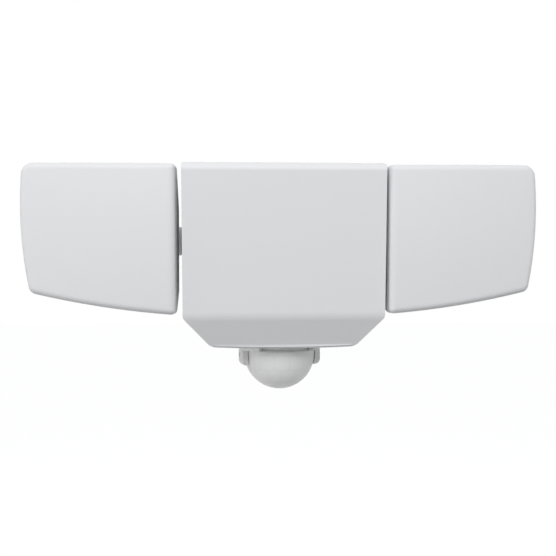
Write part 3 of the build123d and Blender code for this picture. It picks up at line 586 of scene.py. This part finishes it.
@dataclass(frozen=True)
class MilkyLens(MouldedPlastic):
    """Milky polyethylene with the lens panels moulded into it, on a ball of its own centre and radius."""

    centre: Place = (0.0, 0.0, 0.0)
    radius: float = 0.02
    bands: float = 3.6
    panels: float = 7.0
    # How dark the painted shade along the grooves between the panels is.
    border_shade_tone: float = 0.962
    grain_share: float = 0.05
    glow: float = 0.25
    scatter: float = 0.002

    def panel_node(self, sheet: NodeSheet, shelf: EffectShelf) -> bpy.types.Node:
        """The lens panels placed on this ball.

        Args:
            sheet: the material's nodes.
            shelf: the shared effects.

        Returns:
            The group node.
        """
        x, y, z = self.centre
        return shelf.place(sheet, Effect.LENS_PANELS, X=x, Y=y, Z=z, Radius=self.radius, Bands=self.bands,
                           Panels=self.panels)

    def colours(self, sheet: NodeSheet, shelf: EffectShelf) -> bpy.types.NodeSocket:
        """Milky white, with painted shade along the grooves between the panels.

        Args:
            sheet: the material's nodes.
            shelf: the shared effects.

        Returns:
            The colour's socket.
        """
        milk = super().colours(sheet, shelf)
        # Painted shade along the grooves between the panels.
        border_shade = self.panel_node(sheet, shelf).outputs["Mask"]
        return sheet.mix(border_shade, milk, self.toned(self.border_shade_tone))

    def height(self, sheet: NodeSheet, shelf: EffectShelf) -> bpy.types.NodeSocket:
        """The panels' low humps with a trace of grain.

        Args:
            sheet: the material's nodes.
            shelf: the shared effects.

        Returns:
            The height's socket.
        """
        panels = self.panel_node(sheet, shelf).outputs["Height"]
        grain = sheet.math("MULTIPLY", super().height(sheet, shelf), self.grain_share)
        return sheet.math("ADD", panels, grain)

    def extras(self, shader: bpy.types.Node) -> None:
        """Lets a little light into the plastic.

        Args:
            shader: the material's shader.
        """
        super().extras(shader)
        shader.inputs["Subsurface Weight"].default_value = self.glow
        shader.inputs["Subsurface Radius"].default_value = (self.scatter,) * 3
        shader.inputs["Subsurface Scale"].default_value = 1.0


# ---------------------------------------------------------------- working the meshes
class Skin(Enum):
    """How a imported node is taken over."""

    AS_PACKED = "as_packed"
    SMOOTHED = "smoothed"


@dataclass
class Workshop:
    """The finishes in stock, and the ways a piece gets its mesh and its finish. Sizes in metres."""

    shelf: EffectShelf = field(default_factory=EffectShelf)
    weld: float = 0.000002
    flat_degrees: float = 0.2
    crease_degrees: float = 35.0
    stock: dict[str, bpy.types.Material] = field(default_factory=dict)

    def material(self, finish: Finish) -> bpy.types.Material:
        """The finish's material, built on first use.

        Args:
            finish: the finish.

        Returns:
            Its material.
        """
        if finish.name not in self.stock:
            self.stock[finish.name] = finish.material(self.shelf)
        return self.stock[finish.name]

    def dress(self, piece: bpy.types.Object, finish: Finish) -> None:
        """Gives a piece one finish all over.

        Args:
            piece: the object.
            finish: its finish.
        """
        made = self.material(finish)
        if piece.material_slots:
            for slot in piece.material_slots:
                slot.link = "OBJECT"
                slot.material = made
        else:
            piece.data.materials.append(made)

    def take(self, node: str, finish: Finish, skin: Skin = Skin.SMOOTHED) -> bpy.types.Object:
        """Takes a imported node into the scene.

        Args:
            node: the node's name.
            finish: its finish.
            skin: as packed, or as a smooth-shaded copy that stands for it.

        Returns:
            The object that shows.
        """
        source = frame["nodes"][node]
        if skin is Skin.AS_PACKED:
            self.dress(source, finish)
            return source
        mesh = source.data.copy()
        shape = bmesh.new()
        shape.from_mesh(mesh)
        bmesh.ops.remove_doubles(shape, verts=shape.verts, dist=self.weld)
        bmesh.ops.dissolve_limit(shape, angle_limit=math.radians(self.flat_degrees), verts=shape.verts,
                                 edges=shape.edges)
        shape.to_mesh(mesh)
        shape.free()
        return self.piece(f"{node}_skin", mesh, finish, source["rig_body"], node)

    def soften(self, mesh: bpy.types.Mesh) -> None:
        """Gives each face corner the mean normal of those faces round it that turn little from its own.

        Large faces weigh more, so flats stay flat and only their rounded edges shade softly.

        Args:
            mesh: the mesh to shade.
        """
        limit = math.cos(math.radians(self.crease_degrees))
        around: list[list[tuple[Vector, float]]] = [[] for _ in mesh.vertices]
        for face in mesh.polygons:
            for corner in face.vertices:
                around[corner].append((face.normal.copy(), face.area))
        normals = []
        for face in mesh.polygons:
            for corner in face.vertices:
                near = (way * area for way, area in around[corner] if way.dot(face.normal) > limit)
                normals.append(sum(near, Vector()).normalized())
        mesh.shade_smooth()
        mesh.normals_split_custom_set(normals)

    def piece(self, name: str, mesh: bpy.types.Mesh, finish: Finish, body: str,
              stands_for: str) -> bpy.types.Object:
        """Makes an object of a mesh, smooth but for its creases, and sets it on its body.

        Args:
            name: the piece's name.
            mesh: its mesh.
            finish: its finish.
            body: the body it rides on.
            stands_for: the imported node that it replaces.

        Returns:
            The new object.
        """
        mesh.materials.clear()
        made = bpy.data.objects.new(name, mesh)
        bpy.context.scene.collection.objects.link(made)
        self.soften(mesh)
        self.dress(made, finish)
        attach(made, body)
        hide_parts(stands_for)
        return made


# ---------------------------------------------------------------- this light's own finishes
# The edge tones lighten each finish's edges, partly as wear and partly as a painted highlight, most on the
# dark rubber, foam, sleeve and dials.
COVER = MouldedPlastic("cover_white", (0.79, 0.797, 0.815), roughness=0.5, drift=0.02, bump_depth=0.000025,
                       edge_width=0.0002, edge_wear_highlight_tone=1.02, dust=0.04, gloss=0.35)
HOUSING = MouldedPlastic("housing_white", (0.77, 0.78, 0.785), roughness=0.55, bump_depth=0.00004)
SENSOR = MouldedPlastic("sensor_white", (0.93, 0.93, 0.93), roughness=0.5, drift=0.02, bump_depth=0.00003)
LENS = MilkyLens("lens_white", (0.95, 0.95, 0.95), roughness=0.38, drift=0.05, bump_depth=0.00007,
                 dust=0.02)
ARM = PowderCoat("arm_white", (0.77, 0.78, 0.785), roughness=0.48, bump_depth=0.00006)
ZINC = PlatedSteel("screw_steel", (0.6, 0.61, 0.62), roughness=0.32, metallic=1.0, drift=0.12,
                   drift_scale=140.0)
SHEET_STEEL = PlatedSteel("bracket_steel", (0.56, 0.57, 0.585), roughness=0.42, metallic=1.0, drift=0.25,
                          drift_scale=70.0, edge_wear_highlight_tone=1.25)
CAN = PlatedSteel("can_steel", (0.7, 0.7, 0.71), roughness=0.22, metallic=1.0)
SILICONE = FoamRubber("seal_rubber", (0.5, 0.51, 0.52), roughness=0.6, cells=2200.0, bump_depth=0.00001)
FOAM = FoamRubber("gasket_foam", (0.045, 0.045, 0.048), roughness=0.9, bump_depth=0.0002, edge_wear_highlight_tone=1.6)
RUBBER = FoamRubber("grommet_rubber", (0.035, 0.035, 0.038), roughness=0.62, cells=2600.0, edge_wear_highlight_tone=1.8)
LIGHT_BOARD = SolderMask("board_aluminium", (0.82, 0.82, 0.8), roughness=0.35, track_tone=0.93)
GREEN_BOARD = SolderMask("board_green", (0.03, 0.17, 0.07), roughness=0.3, track_tone=0.6)
PHOSPHOR = MouldedPlastic("led_yellow", (0.85, 0.66, 0.16), roughness=0.6, drift=0.1, drift_scale=400.0)
TAPE = WoundTape("transformer_tape", (0.72, 0.5, 0.1), roughness=0.35)
SLEEVE = MouldedPlastic("capacitor_sleeve", (0.03, 0.035, 0.05), roughness=0.3, edge_wear_highlight_tone=2.0)
TERMINAL = MouldedPlastic("terminal_plastic", (0.68, 0.68, 0.65), roughness=0.6)
CONTROL = MouldedPlastic("pot_plastic", (0.03, 0.1, 0.32), roughness=0.4)
DIAL = MouldedPlastic("dial_grey", (0.16, 0.165, 0.17), roughness=0.5, edge_wear_highlight_tone=1.5, bump_depth=0.00004)


# ---------------------------------------------------------------- sub-assemblies
@dataclass
class CentreBody:
    """The fixed body on the wall: housing, front cover, bracket, driver and controls."""

    shop: Workshop

    def build(self) -> list[bpy.types.Object]:
        """Takes over every piece that stays with the wall, and the three dials.

        Returns:
            The pieces.
        """
        take = self.shop.take
        screws = ("mount_screws", "cover_screws", "center_board_screws", "driver_screws")
        return [
            take("center_diffuser", COVER),
            take("rear_housing", HOUSING),
            take("housing_seal", SILICONE),
            take("mounting_bracket", SHEET_STEEL),
            take("wall_gasket", FOAM),
            take("wire_grommet", RUBBER),
            *(take(node, ZINC) for node in screws),
            take("center_led_board", LIGHT_BOARD, Skin.AS_PACKED),
            take("center_leds", PHOSPHOR, Skin.AS_PACKED),
            take("driver_board", GREEN_BOARD, Skin.AS_PACKED),
            take("driver_transformer", TAPE),
            take("driver_capacitors", SLEEVE),
            take("terminal_block", TERMINAL),
            take("control_board", GREEN_BOARD, Skin.AS_PACKED),
            take("control_pots", CONTROL),
            *(take(node, DIAL) for node in ("time_dial", "lux_dial", "range_dial")),
        ]


@dataclass
class BallSensor:
    """The turning yoke and the ball that tilts in it.

    Sizes are in metres. A point of the lens within the slack of one of its two spheres belongs on it.
    """

    shop: Workshop
    centre: Vector = field(default_factory=lambda: pivot("sensor_tilt"))
    radius: float = 0.0256
    lens_wall: float = 0.0012
    slack: float = 0.0002

    def build(self) -> list[bpy.types.Object]:
        """Takes over the yoke, the ball and what is in the ball, and models the lens.

        Returns:
            The pieces.
        """
        take = self.shop.take
        return [
            *(take(node, SENSOR) for node in ("sensor_yoke", "sensor_retaining_ring", "sensor_carrier")),
            take("sensor_board", GREEN_BOARD, Skin.AS_PACKED),
            take("pir_detector", CAN),
            take("photocell", PHOSPHOR),
            self.lens(),
        ]

    def lens(self) -> bpy.types.Object:
        """Models the lens with finer facets, drawn out onto its two true spheres.

        Returns:
            The lens.
        """
        source = frame["nodes"]["sensor_lens"]
        shape = bmesh.new()
        shape.from_mesh(source.data)
        bmesh.ops.remove_doubles(shape, verts=shape.verts, dist=self.shop.weld)
        bmesh.ops.triangulate(shape, faces=shape.faces)
        bmesh.ops.subdivide_edges(shape, edges=shape.edges, cuts=1, use_grid_fill=True)
        for vertex in shape.verts:
            arm = vertex.co - self.centre
            for radius in (self.radius, self.radius - self.lens_wall):
                if abs(arm.length - radius) < self.slack:
                    vertex.co = self.centre + arm.normalized() * radius
        mesh = bpy.data.meshes.new("lens_skin")
        shape.to_mesh(mesh)
        shape.free()
        panelled = replace(LENS, centre=tuple(self.centre), radius=self.radius)
        return self.shop.piece("lens_skin", mesh, panelled, source["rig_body"], "sensor_lens")


class Hand(Enum):
    """The side that a head is on, as its sign along X."""

    LEFT = -1
    RIGHT = 1


@dataclass
class SideHead:
    """One side head on its arm, with a modelled cover.

    Sizes are in metres: widths and depths from the head's hinge, heights from the light's middle. The
    angle at which the head is turned out is in degrees. The crown's shares say how far out from its
    middle each of its rings of points lies.
    """

    shop: Workshop
    hand: Hand
    turned_out: float
    hinge: Vector = field(init=False)
    inner: float = 0.048
    outer_top: float = 0.0565
    outer_middle: float = 0.0569
    outer_bottom: float = 0.051
    middle_z: float = 0.017
    top_inner: float = 0.0608
    top_outer: float = 0.0616
    bottom_inner: float = -0.0424
    bottom_middle: float = -0.0367
    bottom_outer: float = -0.027
    inner_corner: float = 0.0032
    top_corner: float = 0.008
    foot_corner: float = 0.006
    least_corner: float = 0.00015
    crown_forward: float = 0.058
    crown_radius: float = 0.8
    crown_shift: float = 0.004
    seam: float = 0.047
    face_round: float = 0.0042
    wall: float = 0.0022
    crown_shares: tuple[float, ...] = (0.12, 0.3, 0.5, 0.7, 0.86, 0.96)
    round_steps: int = 6
    arc_steps: int = 8
    corner_steps: int = 8

    def __post_init__(self) -> None:
        """Finds the head's hinge in the frame."""
        self.hinge = pivot(self.named("yaw"))

    def named(self, part: str) -> str:
        """A part's name on this head's side."""
        return f"{self.hand.name.lower()}_{part}"

    def build(self) -> list[bpy.types.Object]:
        """Takes over the head's and the arm's pieces and models the cover.

        Returns:
            The pieces.
        """
        take, named = self.shop.take, self.named
        steel = ("arm_washer", "arm_nut", "hinge_bolt", "hinge_nut", "head_screws", "board_screws")
        return [
            take(named("head_housing"), HOUSING),
            take(named("head_seal"), SILICONE),
            take(named("lead_bush"), RUBBER),
            take(named("arm"), ARM),
            *(take(named(part), ZINC) for part in steel),
            take(named("led_board"), LIGHT_BOARD, Skin.AS_PACKED),
            take(named("leds"), PHOSPHOR, Skin.AS_PACKED),
            self.cover(),
        ]

    def cover(self) -> bpy.types.Object:
        """Models the crowned cover as one closed skin along its outline.

        Returns:
            The cover.
        """
        shape = bmesh.new()
        rings = [[shape.verts.new(self.placed(*point)) for point in ring] for ring in self.rings()]
        apex = shape.verts.new(self.placed(*self.on_crown(self.crown_middle())))
        middle = rings[0]
        count = len(middle)
        for i in range(count):
            shape.faces.new((apex, middle[i], middle[(i + 1) % count]))
        for first, second in zip(rings, rings[1:]):
            for i in range(count):
                j = (i + 1) % count
                shape.faces.new((first[j], first[i], second[i], second[j]))
        shape.faces.new(rings[-1])
        bmesh.ops.recalc_face_normals(shape, faces=shape.faces)
        name = self.named("cover")
        mesh = bpy.data.meshes.new(name)
        shape.to_mesh(mesh)
        shape.free()
        return self.shop.piece(name, mesh, COVER, self.named("head"), self.named("diffuser"))

    def rings(self) -> list[list[Place]]:
        """Rings of points, each across, up and forward: crown, soft edge, wall, rim and inside.

        Returns:
            The rings from the crown's middle to the inside's.
        """
        heart = self.crown_middle()
        lip = self.outline(self.face_round)
        made = [[self.on_crown(heart.lerp(point, share)) for point in lip] for share in self.crown_shares]
        for step in range(self.round_steps + 1):
            turn = math.radians(90 - 90 * step / self.round_steps)
            inset = self.face_round * (1 - math.cos(turn))
            drop = self.face_round * (1 - math.sin(turn))
            edge = zip(self.outline(inset), lip)
            made.append([(p.x, p.y, self.on_crown(q)[2] - drop) for p, q in edge])
        made.append([(p.x, p.y, self.seam) for p in self.outline(0.0)])
        inside = self.outline(self.wall)
        made.append([(p.x, p.y, self.seam) for p in inside])
        made.append([(p.x, p.y, self.on_crown(p)[2] - self.wall) for p in inside])
        return made

    def crown_middle(self) -> Vector:
        """Where the crowned face stands furthest forward, across and up."""
        return Vector((self.hand.value * self.crown_shift, self.hinge.z))

    def on_crown(self, point: Vector) -> Place:
        """A point of the crowned face over a place in the outline's plane.

        Args:
            point: the place, across and up.

        Returns:
            The point, across, up and forward.
        """
        away = (point - self.crown_middle()).length
        sink = self.crown_radius - math.sqrt(self.crown_radius ** 2 - away ** 2)
        return point.x, point.y, self.crown_forward - sink

    def outline(self, inset: float) -> list[Vector]:
        """The cover's outline, drawn in by an inset, with its corners rounded.

        Args:
            inset: how far it is drawn in.

        Returns:
            Points across and up, as many for every inset.
        """
        foot = Vector((-self.inner, self.bottom_inner))
        top = Vector((-self.inner, self.top_inner))
        far_top = Vector((self.outer_top, self.top_outer))
        far_foot = Vector((self.outer_bottom, self.bottom_outer))
        far_middle = Vector((self.outer_middle, self.middle_z))
        low_middle = Vector(((self.outer_bottom - self.inner) / 2, self.bottom_middle))
        path = [(foot, self.inner_corner), *self.straight(foot, top),
                (top, self.inner_corner), *self.straight(top, far_top),
                (far_top, self.top_corner), *self.arc(far_top, far_middle, far_foot),
                (far_foot, self.foot_corner), *self.arc(far_foot, low_middle, foot)]
        made: list[Vector] = []
        for i, (point, radius) in enumerate(path):
            before = (point - path[i - 1][0]).normalized()
            after = (path[(i + 1) % len(path)][0] - point).normalized()
            inward = Vector((before.y + after.y, -before.x - after.x)) / (1 + before.dot(after))
            moved = point + inward * inset
            round_left = max(radius - inset, self.least_corner)
            made += self.rounded(moved, before, after, round_left) if radius else [moved]
        return [Vector((self.hand.value * p.x, p.y)) for p in made]

    def straight(self, start: Vector, end: Vector) -> list[tuple[Vector, float]]:
        """Points between the ends of a straight stretch, each with no rounding."""
        return [(start.lerp(end, k / self.arc_steps), 0.0) for k in range(1, self.arc_steps)]

    def rounded(self, corner: Vector, before: Vector, after: Vector, radius: float) -> list[Vector]:
        """Points of a rounded corner.

        Args:
            corner: the sharp corner.
            before: direction of the stretch that arrives.
            after: direction of the stretch that leaves.
            radius: the round's radius.

        Returns:
            The points, from the first stretch to the second.
        """
        half = math.acos(max(-1.0, min(1.0, before.dot(after)))) / 2
        reach = radius * math.tan(half)
        start = corner - before * reach
        centre = start + Vector((before.y, -before.x)) * radius
        arm = start - centre
        steps = self.corner_steps
        return [centre + Matrix.Rotation(-2 * half * k / steps, 2) @ arm for k in range(steps + 1)]

    def arc(self, start: Vector, through: Vector, end: Vector) -> list[tuple[Vector, float]]:
        """Points between the ends of an arc through three points, each with no rounding.

        Args:
            start: its start.
            through: a point on it.
            end: its end.

        Returns:
            The points between start and end.
        """
        a, b = through - start, end - start
        cross = 2 * (a.x * b.y - a.y * b.x)
        centre = start + Vector((b.y * a.length_squared - a.y * b.length_squared,
                                 a.x * b.length_squared - b.x * a.length_squared)) / cross
        first, last = start - centre, end - centre
        turn = first.angle_signed(last)
        return [(centre + Matrix.Rotation(-turn * k / self.arc_steps, 2) @ first, 0.0)
                for k in range(1, self.arc_steps)]

    def placed(self, across: float, up: float, forward: float) -> Vector:
        """A point of the head in the light's own frame.

        Args:
            across: along the head's width, from its hinge.
            up: height above the light's middle.
            forward: out from the hinge.

        Returns:
            The point.
        """
        turn = math.radians(self.hand.value * self.turned_out)
        width = Vector((math.cos(turn), math.sin(turn), 0.0))
        out = Vector((math.sin(turn), -math.cos(turn), 0.0))
        return Vector((self.hinge.x, self.hinge.y, up)) + width * across + out * forward


# ---------------------------------------------------------------- studio
@dataclass
class Lamp:
    """A soft square lamp, placed by its direction, in degrees, and its distance from its target."""

    name: str
    azimuth: float
    elevation: float
    distance: float
    size: float
    power: float

    def build(self, target: Vector) -> None:
        """Hangs the lamp so that it faces the target.

        Args:
            target: what it lights.
        """
        data = bpy.data.lights.new(self.name, "AREA")
        data.shape, data.size, data.energy = "SQUARE", self.size, self.power
        made = bpy.data.objects.new(self.name, data)
        az, el = math.radians(self.azimuth), math.radians(self.elevation)
        way = Vector((math.sin(az) * math.cos(el), -math.cos(az) * math.cos(el), math.sin(el)))
        made.location = target + way * self.distance
        made.rotation_euler = way.to_track_quat("Z", "Y").to_euler()
        bpy.context.scene.collection.objects.link(made)


@dataclass
class Studio:
    """Floor, sky, lamps and camera.

    The camera's place, target and roll are fitted to the photograph, the roll in degrees, and its focal
    share is its focal length in picture widths.
    """

    target: Vector = field(default_factory=lambda: Vector((0.0, -0.06, 0.0)))
    floor_height: float = -0.85
    floor_size: float = 30.0
    floor_cells: int = 16
    floor_white: float = 0.5
    floor_glow: float = 0.78
    sky: float = 0.42
    sky_tint: Colour = (0.985, 0.992, 1.0)
    lamps: tuple[Lamp, ...] = (
        Lamp("key", azimuth=-9.0, elevation=38.0, distance=1.6, size=1.2, power=18.2),
        Lamp("left", azimuth=-86.0, elevation=-10.0, distance=1.5, size=0.8, power=3.5),
        Lamp("right", azimuth=95.0, elevation=-6.0, distance=1.5, size=0.8, power=1.2),
    )
    camera_place: Vector = field(default_factory=lambda: Vector((-0.05992, -0.78982, -0.01192)))
    camera_target: Vector = field(default_factory=lambda: Vector((-0.005, -0.092, -0.0173)))
    camera_roll: float = -0.13
    focal_share: float = 1026.0 / 556.0
    sensor_width: float = 36.0

    def build(self) -> None:
        """Sets up the whole studio."""
        self.floor()
        self.backdrop()
        for lamp in self.lamps:
            lamp.build(self.target)
        self.camera()
        bpy.context.scene.view_settings.view_transform = "Standard"

    def seen_or_reflected(self, sheet: NodeSheet) -> bpy.types.NodeSocket:
        """1 for rays that show the backdrop itself, straight, in gloss or through glass.

        Args:
            sheet: the material's or world's nodes.

        Returns:
            The mask's socket.
        """
        path = sheet.add("LightPath")
        either = sheet.math("ADD", path.outputs["Is Camera Ray"], path.outputs["Is Glossy Ray"], clamp=True)
        return sheet.math("ADD", either, path.outputs["Is Transmission Ray"], clamp=True)

    def floor(self) -> None:
        """A wide pale floor that shows white but keeps the light's shadow."""
        shape = bmesh.new()
        level = Matrix.Translation((0.0, 0.0, self.floor_height))
        bmesh.ops.create_grid(shape, x_segments=self.floor_cells, y_segments=self.floor_cells,
                              size=self.floor_size / 2, matrix=level)
        mesh = bpy.data.meshes.new("studio_floor")
        shape.to_mesh(mesh)
        shape.free()
        made = bpy.data.objects.new("studio_floor", mesh)
        bpy.context.scene.collection.objects.link(made)
        material = bpy.data.materials.new("studio_floor_paint")
        material.use_nodes = True
        sheet = NodeSheet(material.node_tree)
        matt = sheet.add("BsdfDiffuse", {"Color": (self.floor_white,) * 3})
        shown = sheet.add("Emission", {"Color": WHITE, "Strength": self.floor_glow})
        both = sheet.add("AddShader", {0: matt.outputs[0], 1: shown.outputs[0]})
        pick = sheet.add("MixShader", {0: self.seen_or_reflected(sheet), 1: matt.outputs[0],
                                       2: both.outputs[0]})
        sheet.put(sheet.add("OutputMaterial").inputs["Surface"], pick.outputs[0])
        mesh.materials.append(material)

    def backdrop(self) -> None:
        """A white sky for the camera and for gloss, and a softer one that lights the object."""
        world = bpy.data.worlds.new("studio_sky")
        bpy.context.scene.world = world
        world.use_nodes = True
        sheet = NodeSheet(world.node_tree)
        seen = sheet.add("Background", {"Color": WHITE, "Strength": 1.0})
        lit = sheet.add("Background", {"Color": self.sky_tint, "Strength": self.sky})
        pick = sheet.add("MixShader", {0: self.seen_or_reflected(sheet), 1: lit.outputs[0],
                                       2: seen.outputs[0]})
        sheet.put(sheet.add("OutputWorld").inputs["Surface"], pick.outputs[0])

    def camera(self) -> None:
        """The camera at the photograph's viewing angle."""
        data = bpy.data.cameras.new("camera")
        data.sensor_width = self.sensor_width
        data.lens = self.sensor_width * self.focal_share
        data.dof.use_dof = False
        made = bpy.data.objects.new("camera", data)
        look = (self.camera_target - self.camera_place).to_track_quat("-Z", "Y").to_matrix()
        roll = Matrix.Rotation(math.radians(self.camera_roll), 3, "Z")
        made.matrix_world = Matrix.Translation(self.camera_place) @ (look @ roll).to_4x4()
        bpy.context.scene.collection.objects.link(made)
        bpy.context.scene.camera = made


def main() -> None:
    """Builds the light's sub-assemblies in order, reports their pieces, and sets up the studio."""
    logging.basicConfig(level=logging.INFO, format="%(name)s: %(message)s")
    shop = Workshop()
    left = SideHead(shop, Hand.LEFT, turned_out=5.0)
    right = SideHead(shop, Hand.RIGHT, turned_out=2.7)
    for part in (CentreBody(shop), BallSensor(shop), left, right):
        for piece in part.build():
            log.info("%s: %d faces in %s", piece.name, len(piece.data.polygons), piece.active_material.name)
    Studio().build()


if __name__ == "__main__":
    main()
